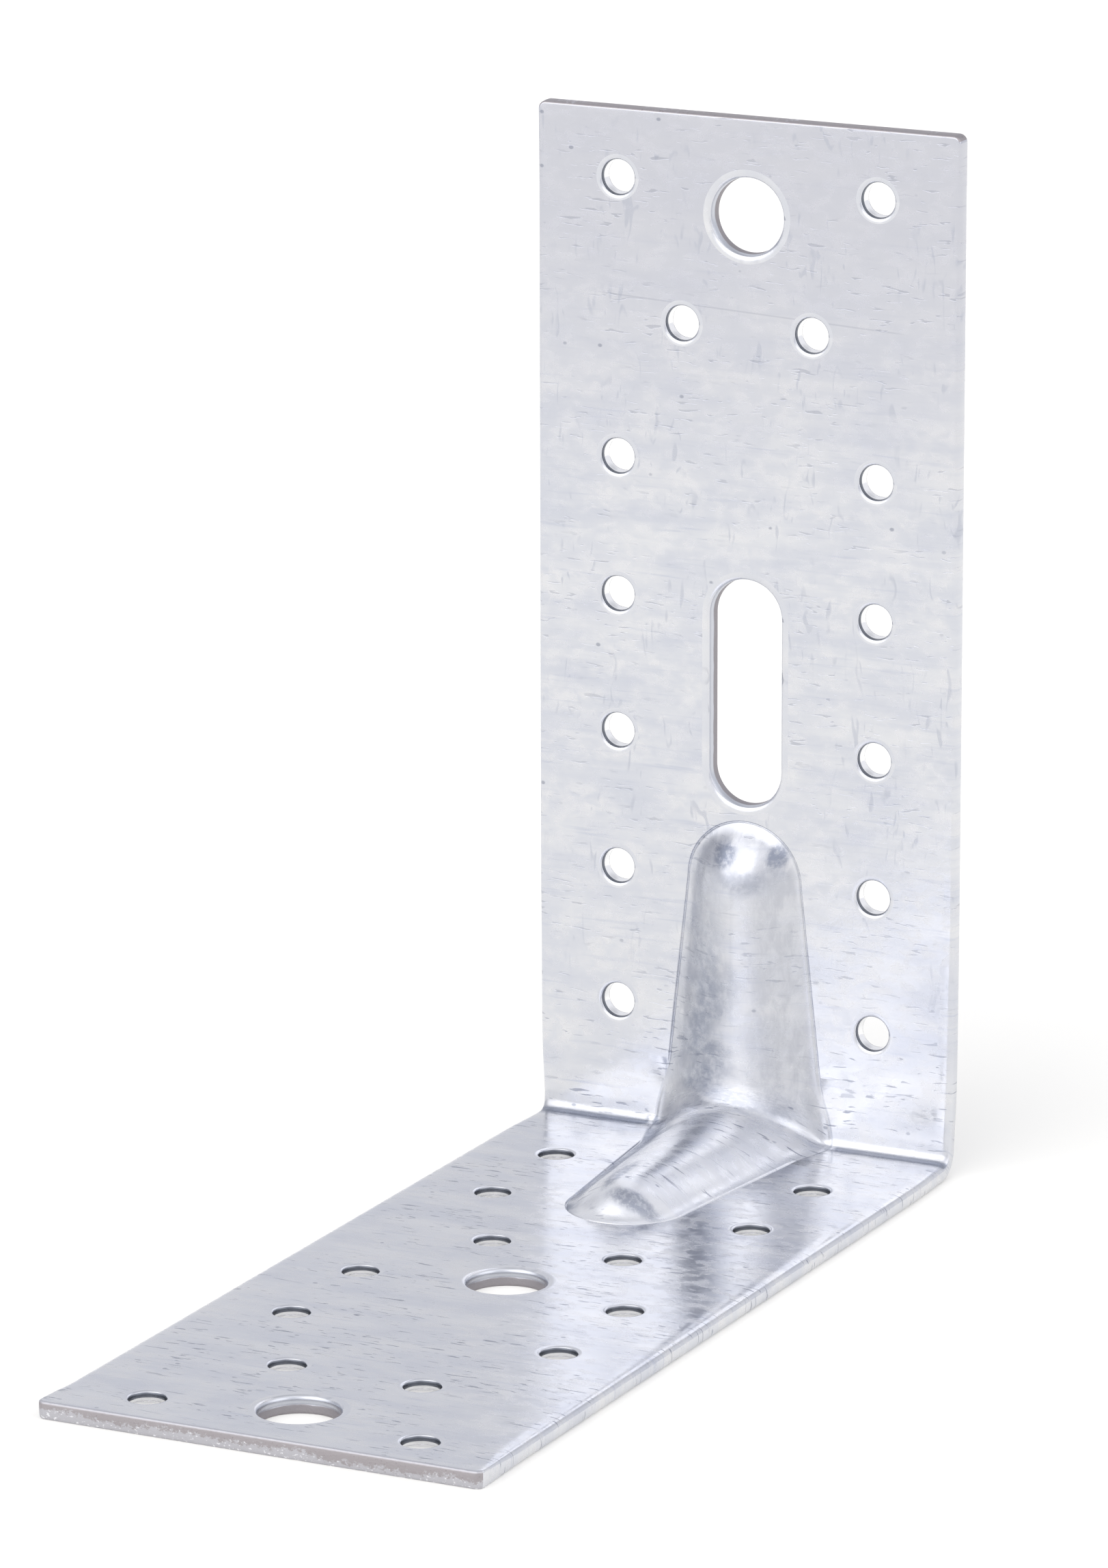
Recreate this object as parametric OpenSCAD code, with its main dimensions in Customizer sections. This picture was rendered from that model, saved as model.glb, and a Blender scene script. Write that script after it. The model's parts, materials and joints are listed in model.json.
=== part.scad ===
// Reinforced angle bracket: one sheet of galvanised steel, folded at a right angle,
// punched for nails and bolts, with a pressed rib that stiffens the bend.
// The underside of the lower leg lies on z = 0 and the back of the upright faces +Y.
// The origin is the middle of the footprint.

/* [Sheet] */
// Thickness of the sheet
sheet_t = 2.5; // [1.5:0.1:4]
// Width of both legs
width = 65; // [60:1:90]
// Height of the upright leg, from the underside to its top edge
upright_h = 150; // [130:1:240]
// Length of the lower leg, from the back to its end edge
foot_l = 150; // [130:1:240]
// Radius inside the bend
bend_r = 1.5; // [0.5:0.1:3]
// Radius of the four free corners
corner_r = 1.2; // [0.5:0.1:6]

/* [Nail holes] */
// Diameter of a nail hole
nail_d = 5; // [3:0.1:7]
// Distance from a side edge to the outer holes
nail_edge = 12.5; // [8:0.5:14]
// Distance between the two holes of a narrow row
narrow_gap = 20; // [19:0.5:26]
// Distance from one row of holes to the next
row_pitch = 20; // [14:0.5:26]
// Distance from the top edge of the upright to its first row
upright_end = 10; // [6:0.5:20]
// Distance from the end edge of the lower leg to its first row
foot_end = 7.5; // [6:0.5:20]
// Least distance from the outside of the bend to a row
heel_clear = 18; // [14:0.5:40]

/* [Bolt holes] */
// Diameter of a bolt hole and width of the slot
bolt_d = 11; // [6:0.5:13]
// Length of the slot from end to end
slot_l = 33; // [16:1:44]
// Distance from the end of the rib to the slot
slot_gap = 2; // [1:0.5:8]
// Distance of the upright's bolt hole below its first row
upright_bolt = 4; // [0:0.5:6]
// Distance of the lower leg's bolt holes inward of the rows beside them
foot_bolt = 4.5; // [0:0.5:6]
// Number of rows from one bolt hole of the lower leg to the next
bolt_rows = 3; // [2:1:3]

/* [Rib] */
// Distance that the rib reaches along each leg, from the inside corner
rib_reach = 46.5; // [38:0.5:56]
// Height of the rib above the legs
rib_h = 4.5; // [2.5:0.1:6]
// Width of the rib at its round ends
rib_end_w = 18; // [14:0.5:20]
// Width of the rib at the bend, as the sides of its legs run
rib_bend_w = 26.4; // [21:0.2:28]
// Extra width on each side where the rib crosses the bend
rib_flare = 1.4; // [0:0.1:2]
// Radius of the rib's ridge as it turns the corner
ridge_r = 5.5; // [4:0.5:10]
// Share of the rib's half width that is crown; the rest is the rounded foot
crown_share = 0.78; // [0.6:0.02:0.9]
// Sideways gap between the front outline and the hollow at the back, as a share of the sheet
wall_share = 0.6; // [0.4:0.05:0.8]

/* [Hidden] */
$fn = 64;

// How far a cutter stands clear of the sheet
over = 1;
// How far the rim of the rib's surface dips below the face that it grows from
dip = 0.05;
// Outside radius of the bend
bend_out = bend_r + sheet_t;
// The rib turns the corner about a line this far from both inside faces
turn = rib_h + ridge_r;
// Radius of the rib's round ends, and how far along the leg their centres lie
end_r = rib_end_w / 2;
end_at = rib_reach - end_r;
// Heights of the rib's end and of the slot, from the outside of the bend
rib_top = sheet_t + rib_reach;
slot_low = rib_top + slot_gap;
slot_high = slot_low + slot_l;
// Place of the outer holes, either side of the middle
wide_x = width / 2 - nail_edge;
narrow_x = narrow_gap / 2;
// Every third row is narrow, beginning with the second one
row_cycle = 3;
// Steps of the rib's surface: across half of it, along each round end, and round the corner
side_steps = 13;
end_steps = 10;
turn_steps = 16;
// The last section of a round end, just short of its tip
end_stop = 84;

// Distances of the rows of one leg from the outside of the bend, beginning at the free edge
function rows(leg, margin) =
    [for (at = [leg - margin : -row_pitch : heel_clear]) at];

// A row is narrow where the rib and the slot leave room for it
function row_x(i, at, clear) =
    i % row_cycle == 1 && at > clear + nail_d ? narrow_x : wide_x;

// Height of the rib across its half width, 1 on the ridge and 0 at the rim:
// a parabola for the crown, which runs smoothly into the rounded foot
function bell(u) =
    u <= crown_share ? 1 - u * u / crown_share : pow(1 - u, 2) / (1 - crown_share);

// Half width of the rib at a distance along the leg
function half_w(s) = end_r + (rib_bend_w / 2 - end_r) * (1 - s / end_at);

// Half width of a section at an angle about the turning line, 0 on the upright and 90 on
// the lower leg
function turn_w(a) =
    half_w(turn * (1 - tan(45 - abs(45 - a)))) + rib_flare * pow(sin(2 * a), 2);

// One point of the surface: across (x), at an angle or along a leg, and lifted by h.
// drop is 0 for the front surface and the sheet's thickness for the hollow behind it.
function on_leg(x, s, h, upright) = upright ? [x, -h, s] : [x, -s, h];

function on_turn(x, a, h, drop) =
    let (
        face = (turn + drop) / cos(45 - abs(45 - a)),
        ridge = ridge_r + drop,
        r = face - (face - ridge) * h
    )
    [x, -turn + r * cos(a), turn - r * sin(a)];

// Steps across the rib from -1 to 1, closer together at the foot
function across() = [for (i = [-side_steps : side_steps])
    let (v = abs(i) / side_steps) sign(i) * (v + 0.16 * sin(180 * v) * v)];

// Points of one closed section: over the rib from side to side, then back behind the sheet
function end_points(a, upright, drop, trim, behind) =
    let (
        r = end_r - trim,
        s = end_at + r * sin(a),
        w = r * cos(a),
        rise = rib_h + dip
    )
    concat(
        [for (u = across())
            on_leg(u * w, s, rise * bell(sqrt(pow(u * cos(a), 2) + pow(sin(a), 2))) - dip - drop, upright)],
        [on_leg(w, s, -behind, upright), on_leg(-w, s, -behind, upright)]
    );

function turn_points(a, drop, trim, behind) =
    let (
        w = turn_w(a) - trim,
        far = (turn + behind) / cos(45 - abs(45 - a)),
        sink = dip / (rib_h + dip)
    )
    concat(
        [for (u = across()) on_turn(u * w, a, bell(u) * (1 + sink) - sink, drop)],
        [for (x = [w, -w]) [x, -turn + far * cos(a), turn - far * sin(a)]]
    );

// Closed body of the rib: its front surface, or the hollow that the press leaves behind it.
// trim narrows it, and behind is how far its back lies from the inside face of the leg.
module rib_body(drop, trim, behind) {
    sections = concat(
        [for (i = [end_steps : -1 : 0]) end_points(end_stop * i / end_steps, true, drop, trim, behind)],
        [for (i = [0 : turn_steps]) turn_points(90 * i / turn_steps, drop, trim, behind)],
        [for (i = [0 : end_steps]) end_points(end_stop * i / end_steps, false, drop, trim, behind)]
    );
    n = len(sections[0]);
    last = len(sections) - 1;
    skin = [
        for (k = [0 : last - 1], j = [0 : n - 1])
            let (p = k * n + j, q = k * n + (j + 1) % n)
            each [[p, q, p + n], [q, q + n, p + n]]
    ];
    caps = [
        for (j = [1 : n - 2])
            each [[0, j + 1, j], [last * n, last * n + j, last * n + j + 1]]
    ];
    polyhedron(points = [for (section = sections) each section], faces = concat(skin, caps));
}

// Profile of the folded sheet, seen from the side, with the inside corner at the origin
module profile() {
    translate([0, bend_r])
        square([sheet_t, upright_h - sheet_t - bend_r]);
    translate([sheet_t - foot_l, -sheet_t])
        square([foot_l - sheet_t - bend_r, sheet_t]);
    translate([-bend_r, bend_r])
        intersection() {
            difference() {
                circle(bend_out);
                circle(bend_r);
            }
            translate([0, -bend_out])
                square(bend_out);
        }
}

// Waste outside a rounded corner whose arc is centred on the origin
module corner_waste() {
    difference() {
        square(corner_r + over);
        circle(corner_r);
    }
}

module folded_sheet() {
    difference() {
        rotate([90, 0, 90])
            linear_extrude(width, center = true)
                profile();
        for (side = [0, 1])
            mirror([side, 0, 0]) {
                translate([width / 2 - corner_r, sheet_t + over, upright_h - sheet_t - corner_r])
                    rotate([90, 0, 0])
                        linear_extrude(sheet_t + 2 * over)
                            corner_waste();
                translate([width / 2 - corner_r, sheet_t - foot_l + corner_r, -sheet_t - over])
                    mirror([0, 1, 0])
                        linear_extrude(sheet_t + 2 * over)
                            corner_waste();
            }
    }
}

// Round cutter through a leg, on the z axis of the leg's own plane
module punch(d) {
    translate([0, 0, -sheet_t - over])
        cylinder(d = d, h = sheet_t + 2 * over);
}

// Rows of nail holes of a leg that lies along +Y with its outside of the bend at y = 0
module nail_punches(leg, margin, clear) {
    list = rows(leg, margin);
    for (i = [0 : len(list) - 1], side = [-1, 1])
        translate([side * row_x(i, list[i], clear), list[i], 0])
            punch(nail_d);
}

module slot_punch() {
    for (at = [slot_low + bolt_d / 2, slot_high - bolt_d / 2])
        translate([0, at, 0])
            punch(bolt_d);
    translate([-bolt_d / 2, slot_low + bolt_d / 2, -sheet_t - over])
        cube([bolt_d, slot_l - bolt_d, sheet_t + 2 * over]);
}

module upright_punches() {
    nail_punches(upright_h, upright_end, slot_high);
    translate([0, upright_h - upright_end - upright_bolt, 0])
        punch(bolt_d);
    slot_punch();
}

module foot_punches() {
    nail_punches(foot_l, foot_end, rib_top);
    for (i = [0, bolt_rows])
        translate([0, foot_l - foot_end - foot_bolt - i * row_pitch, 0])
            punch(bolt_d);
}

module bracket() {
    color("#c9ced6")
        translate([0, foot_l / 2 - sheet_t, sheet_t])
            difference() {
                union() {
                    folded_sheet();
                    rib_body(0, 0, sheet_t / 2);
                }
                rib_body(sheet_t, wall_share * sheet_t, sheet_t + over);
                translate([0, 0, -sheet_t])
                    rotate([90, 0, 0])
                        upright_punches();
                translate([0, sheet_t, 0])
                    mirror([0, 1, 0])
                        foot_punches();
            }
}

bracket();
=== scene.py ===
import json
import math
import bpy
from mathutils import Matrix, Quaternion, Vector
from mathutils.geometry import delaunay_2d_cdt


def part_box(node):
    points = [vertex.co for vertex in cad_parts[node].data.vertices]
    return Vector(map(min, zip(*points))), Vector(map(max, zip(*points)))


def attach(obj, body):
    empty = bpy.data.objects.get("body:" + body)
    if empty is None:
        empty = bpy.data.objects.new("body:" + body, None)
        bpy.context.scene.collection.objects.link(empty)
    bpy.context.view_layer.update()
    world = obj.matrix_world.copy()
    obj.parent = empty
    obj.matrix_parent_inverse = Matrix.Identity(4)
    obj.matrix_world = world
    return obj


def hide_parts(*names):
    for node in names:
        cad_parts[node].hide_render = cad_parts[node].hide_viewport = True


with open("model.json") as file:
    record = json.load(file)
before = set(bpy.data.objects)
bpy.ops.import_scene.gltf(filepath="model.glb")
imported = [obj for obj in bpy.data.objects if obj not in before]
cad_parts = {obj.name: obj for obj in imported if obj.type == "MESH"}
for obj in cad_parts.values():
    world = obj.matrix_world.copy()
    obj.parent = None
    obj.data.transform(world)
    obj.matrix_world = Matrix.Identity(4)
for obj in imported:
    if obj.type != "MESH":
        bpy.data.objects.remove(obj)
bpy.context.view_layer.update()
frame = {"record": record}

mm = 0.001


def linearColour(hexCode):
    # sRGB hex to the linear values that the shaders work in
    def channel(value):
        return value / 12.92 if value <= 0.04045 else ((value + 0.055) / 1.055) ** 2.4
    return tuple(channel(int(hexCode[i:i + 2], 16) / 255) for i in (1, 3, 5)) + (1.0,)


def addNode(tree, kind, settings=None, links=None):
    # settings: properties of the node, or input sockets by name or index
    # links: input socket -> output socket of another node
    node = tree.nodes.new(kind)
    for key, value in (settings or {}).items():
        if isinstance(key, str) and hasattr(node, key):
            setattr(node, key, value)
        else:
            node.inputs[key].default_value = value
    for key, source in (links or {}).items():
        tree.links.new(source, node.inputs[key])
    return node


def newMaterial(name):
    material = bpy.data.materials.new(name)
    material.use_nodes = True
    material.node_tree.nodes.clear()
    return material, material.node_tree


# The folded sheet. All sizes in millimetres, measured from the inside corner of the fold:
# the upright runs up from it, the foot runs away from it towards the viewer.
lowCorner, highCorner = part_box("bracket")
boxSize = [(high - low) / mm for low, high in zip(lowCorner, highCorner)]

sheetSpec = {
    "thickness": 2.5,
    "width": boxSize[0],
    "footLength": boxSize[1],
    "uprightHeight": boxSize[2],
    "insideBend": 1.5,      # radius inside the fold
    "cornerRadius": 1.2,    # free corners of both legs
    "neckIn": 0.45,         # the fold pulls each side edge in by this much
    "neckReach": 7.0,       # and lets go again over this distance
    "squeezeDepth": 0.5,    # the press squeezes the zinc inside the fold, and this far round its edges; painted shade darkens it there
    "squeezePower": 40,     # how narrow that line is
    "legRows": 12,          # mesh rows from the rib's turning line to the fold
    "foldRows": 10,         # mesh rows round the fold
    "sideColumns": 6,       # mesh columns beside the rib at the fold
}

ribSpec = {
    "reach": 46.5,          # how far it runs up each leg
    "height": 4.5,
    "endRadius": 9.0,
    "bendHalf": 13.2,       # half width where its sides would meet the fold
    "flare": 1.4,           # extra half width at the fold
    "ridgeRadius": 5.5,     # of the ridge as it turns the corner
    "crownShare": 0.78,     # the rest of the half width is the rounded foot
    "trim": 1.5,            # the hollow behind is narrower by this
    "dip": 0.05,
    "crease": 0.3,          # depth of the fine groove that the press leaves round the rib
    "blend": 0.7,           # softens where the rib crosses the fold
    "endSoft": 5.0,         # mm over which the ridge begins to drop to its round ends
    "ridgeSoft": 70,        # passes that ease the ridge into its turn
    "easeReach": 12.0,      # mm along each leg over which that ends
    "easeShares": (0.5, 0.92),  # of the half width, eased fully and no more
    "creaseFade": 1.6,      # how soon the groove runs out where the rib crosses the fold
    "bunch": 0.14,          # packs the mesh rings closer at the rib's foot
    "legRows": 22,
    "endSteps": 30,
    "rings": 30,
    "grooveRings": 4,
}

slotSpec = {"radius": 5.5, "length": 33.0, "gapAboveRib": 2.0, "steps": 44}

# A punched or sheared edge: the punch rolls the front over, shears a bright band and
# then tears the rest. Pairs of (distance in from the edge, depth below the front face).
edgeSpec = {
    "nailRim": [(0.8, 0.0), (0.6, 0.0), (0.44, 0.015), (0.3, 0.05), (0.18, 0.11), (0.09, 0.2),
                (0.03, 0.32), (0.0, 0.45), (0.0, 0.8), (0.0, 1.15), (-0.02, 1.3), (-0.05, 1.6),
                (-0.06, 2.1), (-0.06, 2.4), (0.0, 2.46), (0.1, 2.5), (0.4, 2.5), (0.7, 2.5)],
    "boltRim": [(1.2, 0.0), (0.95, 0.0), (0.7, 0.015), (0.48, 0.05), (0.3, 0.12), (0.15, 0.23),
                (0.05, 0.38), (0.0, 0.6), (0.0, 0.9), (0.0, 1.2), (-0.02, 1.3), (-0.06, 1.6),
                (-0.08, 2.1), (-0.08, 2.4), (0.0, 2.46), (0.1, 2.5), (0.4, 2.5), (0.7, 2.5)],
    "sheared": [(1.1, 0.0), (0.8, 0.0), (0.55, 0.012), (0.36, 0.035), (0.2, 0.08), (0.09, 0.16),
                (0.03, 0.27), (0.0, 0.42), (0.0, 0.9), (0.0, 1.35), (0.02, 1.6), (0.05, 2.0),
                (0.09, 2.28), (0.16, 2.41), (0.26, 2.48), (0.4, 2.5), (0.7, 2.5), (1.0, 2.5)],
    "rolled": [(2.7, 0.0), (2.3, 0.0), (1.7, 0.025), (1.1, 0.09), (0.62, 0.2), (0.28, 0.38),
               (0.08, 0.63), (0.0, 0.95), (0.0, 1.2), (0.0, 1.45), (0.02, 1.7), (0.08, 1.95),
               (0.18, 2.17), (0.32, 2.33), (0.5, 2.44), (0.7, 2.5), (0.9, 2.5), (1.2, 2.5)],
    "zincDepth": 0.3,       # the zinc is drawn this far into a hole
    "boltFrom": 4.0,        # holes of a larger radius take a bolt
    "nailSteps": 40,
    "boltSteps": 72,
    "cornerSteps": 8,
    "sideSpans": 44,
    "runOut": 9.0,          # mm over which the rolled side edge turns into the sheared one
    "narrow": {"upright": 0.7, "foot": 0.0},    # how far the leg's sides are narrower anyway
    "narrowFrom": 25.0,     # mm over which they become so
    "endSpans": 8,
    "endFrom": 0.5,         # the end edge begins half way round a corner
    "rimSteps": 3,          # steps of the profile at each face that keep their zinc
    "tornBand": (0.45, 0.25),   # the upright's end shows only the torn band: depth it starts at, scale
}

turnLine = ribSpec["height"] + ribSpec["ridgeRadius"]
endAt = ribSpec["reach"] - ribSpec["endRadius"]


def place(station, x, r, drawn=0.0):
    # station: ("upright", s), ("foot", s) or ("turn", angle); r is counted from the turning line.
    # Returns the point, its place on the unfolded strip and how far the press drew the zinc there.
    kind, value = station
    if kind == "upright":
        point, path = (x, r - turnLine, value), value
    elif kind == "foot":
        point, path = (x, -value, turnLine - r), -value
    else:
        a = math.radians(value)
        point = (x, -turnLine + r * math.cos(a), turnLine - r * math.sin(a))
        path = turnLine * (1 - math.tan(math.radians(min(value, 90 - value)))) * (1 if value < 45 else -1)
    near = math.exp(-((point[1] ** 2 + point[2] ** 2) / sheetSpec["neckReach"] ** 2))
    pull = 1 - sheetSpec["neckIn"] * near / (sheetSpec["width"] / 2)
    return (point[0] * pull, point[1], point[2], x, path, drawn)


def skinRadius(station, drop):
    # distance of the plain sheet's face from the turning line; drop is 0 in front
    kind, value = station
    if kind != "turn":
        return turnLine + drop
    a = math.radians(min(value, 90 - value))
    centre = turnLine - sheetSpec["insideBend"]
    flat = (turnLine + drop) / math.cos(a)
    if flat * math.sin(a) <= centre:
        return flat
    along = centre * (math.cos(a) + math.sin(a))
    arc = sheetSpec["insideBend"] + drop
    return along + math.sqrt(along ** 2 - 2 * centre ** 2 + arc ** 2)


def bell(u):
    # section of the rib: a parabola for the crown that runs into its rounded foot
    share = ribSpec["crownShare"]
    return 1 - u * u / share if u <= share else (1 - u) ** 2 / (1 - share)


def ribHalf(station):
    kind, value = station
    taper = ribSpec["bendHalf"] - ribSpec["endRadius"]
    if kind != "turn":
        return ribSpec["endRadius"] + taper * (1 - value / endAt)
    s = turnLine * (1 - math.tan(math.radians(min(value, 90 - value))))
    flare = ribSpec["flare"] * math.sin(math.radians(2 * value)) ** 2
    return ribSpec["endRadius"] + taper * (1 - s / endAt) + flare


def drawnShare(u):
    # how hard the press drew the zinc: least on the ridge, 1 where the rib's foot begins
    share, crease = ribSpec["crownShare"], creaseShare()
    slope = u / share if u <= share else (1 - u) / (1 - share)
    return (0.3 + 0.7 * slope) * min(1.0, (1 - u) / (1 - crease))


def creaseShare():
    # share of the half width at which the rib's foot meets the flat sheet
    height, dip = ribSpec["height"], ribSpec["dip"]
    return 1 - math.sqrt((1 - ribSpec["crownShare"]) * dip / (height + dip))


def softStep(q):
    # distance beyond the centre of a round end, begun gently so that no edge shows
    w = ribSpec["endSoft"]
    return 0.0 if q < -w else q if q > w else (q + w) ** 2 / (4 * w)


def ribRadius(station, u, drop, half=None):
    # distance of the rib's surface from the turning line at u of its half width
    kind, value = station
    skin = skinRadius(station, drop)
    if kind != "turn" and u < creaseShare():
        u = min(creaseShare(), math.hypot(u, softStep(value - endAt) / (half or ribHalf(station))))
    height, dip = ribSpec["height"], ribSpec["dip"]
    if u >= 1:
        return skin
    if u > creaseShare() and drop == 0:
        across = 0.0 if kind != "turn" else math.sin(math.radians(2 * value))
        fade = max(0.0, 1 - ribSpec["creaseFade"] * across)
        return skin + ribSpec["crease"] * fade * math.sin(math.pi * (1 - u) / (1 - creaseShare())) ** 2
    if kind != "turn":
        return skin - max(0.0, (height + dip) * bell(u) - dip)
    a = math.radians(min(value, 90 - value))
    sharp = (turnLine + drop) / math.cos(a)
    rise = bell(u) * (1 + dip / (height + dip)) - dip / (height + dip)
    rib = sharp - (sharp - ribSpec["ridgeRadius"] - drop) * rise
    soft = max(0.02, ribSpec["blend"] * math.sin(2 * a) ** 4)
    meet = max(soft - abs(skin - rib), 0.0) / soft
    return min(skin, rib) - meet * meet * soft / 4


class MeshBook:
    # collects points and faces, and joins points that fall together
    def __init__(self):
        self.points, self.drawn, self.faces, self.looks, self.flats, self.uvs = [], [], [], [], [], []
        self.known = {}

    def point(self, p):
        key = tuple(round(c, 3) for c in p[:3])
        if key not in self.known:
            self.known[key] = len(self.points)
            self.points.append(p[:3])
            self.drawn.append(p[5])
        return self.known[key]

    def face(self, corners, look=0, flat=False, uvs=None):
        ids = [self.point(c) for c in corners]
        keep = [i for i, v in enumerate(ids) if v != ids[i - 1]]
        if len(keep) < 3:
            return
        self.faces.append([ids[i] for i in keep])
        self.looks.append(look)
        self.flats.append(flat)
        self.uvs.append([uvs[i] if uvs else corners[i][3:5] for i in keep])


book = MeshBook()
galvanised, nailWall, boltWall, sheared = range(4)  # material slots of the mesh


def legStations(kind, start, stop, count):
    return [(kind, start + (stop - start) * i / count) for i in range(count + 1)]


def turnStations():
    # even steps along the sheet from the foot (90 degrees) to the upright (0 degrees)
    half = []
    bend = sheetSpec["insideBend"]
    for i in range(sheetSpec["legRows"]):
        s = turnLine + (bend - turnLine) * i / sheetSpec["legRows"]
        half.append(math.degrees(math.atan((turnLine - s) / turnLine)))
    fold = math.degrees(math.atan((turnLine - bend) / turnLine))
    steps = sheetSpec["foldRows"]
    middle = [fold + (90 - 2 * fold) * i / steps for i in range(steps + 1)]
    angles = half + middle + [90 - a for a in reversed(half)]
    return [("turn", a) for a in reversed(angles)]


def ringShares(crease):
    # steps over the rib from its ridge to its outline, closer together at the foot
    n = ribSpec["rings"]
    shares = [i / n for i in range(n)]
    spread = [crease * (v + ribSpec["bunch"] * math.sin(math.pi * v) * v) for v in shares]
    steps = ribSpec["grooveRings"]
    return spread + [crease + (1 - crease) * i / steps for i in range(steps + 1)]


shares = ringShares(creaseShare())
turnRows = turnStations()
footRows = legStations("foot", endAt, turnLine, ribSpec["legRows"])
uprightRows = legStations("upright", turnLine, endAt, ribSpec["legRows"])
ribRows = footRows[:-1] + turnRows + uprightRows[1:]


def quad(a, b, c, d, drop, **extra):
    # front faces look out of the angle, back faces the other way
    corners = [a, b, c, d] if drop == 0 else [d, c, b, a]
    book.face(corners, **extra)


def ribGrid(drop, trim):
    # rows of points from the ridge to the outline, eased along the ridge where it turns
    grid = [[place(row, k * (ribHalf(row) - trim), ribRadius(row, k, drop), drawnShare(k)) for k in shares]
            for row in ribRows]
    easeFrom, easeTo = ribSpec["easeShares"]
    for _ in range(ribSpec["ridgeSoft"]):
        eased = [line[:] for line in grid]
        for i in range(1, len(ribRows) - 1):
            kind, value = ribRows[i]
            near = 1.0 if kind == "turn" else max(0.0, 1 - (value - turnLine) / ribSpec["easeReach"])
            for j, k in enumerate(shares):
                pull = near * min(1.0, max(0.0, (easeTo - k) / (easeTo - easeFrom))) / 4
                before, here, after = grid[i - 1][j], grid[i][j], grid[i + 1][j]
                spot = [h + pull * (b + a - 2 * h) for b, h, a in zip(before[:3], here[:3], after[:3])]
                eased[i][j] = (here[0], spot[1], spot[2]) + here[3:]
        grid = eased
    return grid


def buildRib(drop):
    trim = 0.0 if drop == 0 else ribSpec["trim"]
    grid = ribGrid(drop, trim)
    for low, high in zip(grid, grid[1:]):
        for j in range(len(shares) - 1):
            corners = [low[j], low[j + 1], high[j + 1], high[j]]
            quad(*corners, drop)
            mirrored = [(-c[0],) + c[1:3] + (-c[3],) + c[4:] for c in corners]
            quad(*mirrored[::-1], drop)
    radius = ribSpec["endRadius"] - trim
    for leg, sense in (("upright", 1), ("foot", -1)):
        steps = ribSpec["endSteps"]
        angles = [math.pi * i / steps - math.pi / 2 for i in range(steps + 1)]
        for a, b in zip(angles, angles[1:]):
            for u, v in zip(shares, shares[1:]):
                corners = []
                for angle, k in ((a, u), (a, v), (b, v), (b, u)):
                    station = (leg, endAt + k * radius * math.cos(angle))
                    if k < creaseShare():
                        across = abs(k * math.sin(angle))
                        r = ribRadius(station, across, drop, radius)
                    else:
                        r = ribRadius((leg, 0.0), k, drop, radius)
                    corners.append(place(station, k * radius * math.sin(angle), r, drawnShare(k)))
                quad(*(corners if sense == -1 else corners[::-1]), drop)


def borderInset(drop, kind):
    # how far the flat face stays inside the edge, on the front or on the back
    profile = edgeSpec[kind]
    return profile[0][0] if drop == 0 else profile[-1][0]


def foldShare(row):
    # how much the press squeezes the zinc inside the fold, which also sets where painted shade darkens it
    return math.sin(math.radians(2 * row[1])) ** sheetSpec["squeezePower"]


def buildFoldSides(drop):
    # the strips of the fold on both sides of the rib
    trim = 0.0 if drop == 0 else ribSpec["trim"]
    edge = sheetSpec["width"] / 2 - borderInset(drop, "rolled")
    count = sheetSpec["sideColumns"]
    for low, high in zip(turnRows, turnRows[1:]):
        for side in (-1, 1):
            for c in range(count):
                corners = []
                for row, k in ((low, c), (low, c + 1), (high, c + 1), (high, c)):
                    inner = ribHalf(row) - trim
                    x = inner + (edge - inner) * k / count
                    squeeze = foldShare(row) if drop == 0 else 0.0
                    corners.append(place(row, side * x, skinRadius(row, drop), squeeze))
                quad(*(corners if side == 1 else corners[::-1]), drop)


def legHoles(leg):
    # round holes of one leg as (x, distance from the inside corner, radius), from the record
    holes = []
    normal = (0, -1, 0) if leg == "upright" else (0, 0, 1)
    innerFace = highCorner[1] / mm - sheetSpec["thickness"]
    for mount in frame["record"]["mounts"]:
        dims = mount["dims"]
        radius = dims.get("hole_r_mm", dims.get("r_mm"))
        if radius is None or tuple(round(c) for c in mount["axis"]) != normal:
            continue
        x, y, z = (c / mm for c in mount["pos_m"])
        s = z - sheetSpec["thickness"] if leg == "upright" else innerFace - y
        across, along = dims.get("spacing_x_mm", 0), dims.get("spacing_y_mm", 0)
        for i in {-across / 2, across / 2}:
            for j in {-along / 2, along / 2}:
                holes.append((x + i, s + j, radius))
    return sorted(holes)


def circleOutline(x, s, radius, steps):
    # (x, s, outward x, outward s) round a hole
    turns = [2 * math.pi * i / steps for i in range(steps)]
    return [(x + radius * math.cos(t), s + radius * math.sin(t), math.cos(t), math.sin(t)) for t in turns]


def slotOutline():
    radius, steps = slotSpec["radius"], slotSpec["steps"]
    low = ribSpec["reach"] + slotSpec["gapAboveRib"] + radius
    high = low + slotSpec["length"] - 2 * radius
    outline = []
    for centre, start in ((high, 0.0), (low, math.pi)):
        for i in range(steps + 1):
            t = start + math.pi * i / steps
            outline.append((radius * math.cos(t), centre + radius * math.sin(t), math.cos(t), math.sin(t)))
    return outline


def wallPoint(leg, x, s, depth):
    return place((leg, s), x, turnLine + depth)


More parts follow.
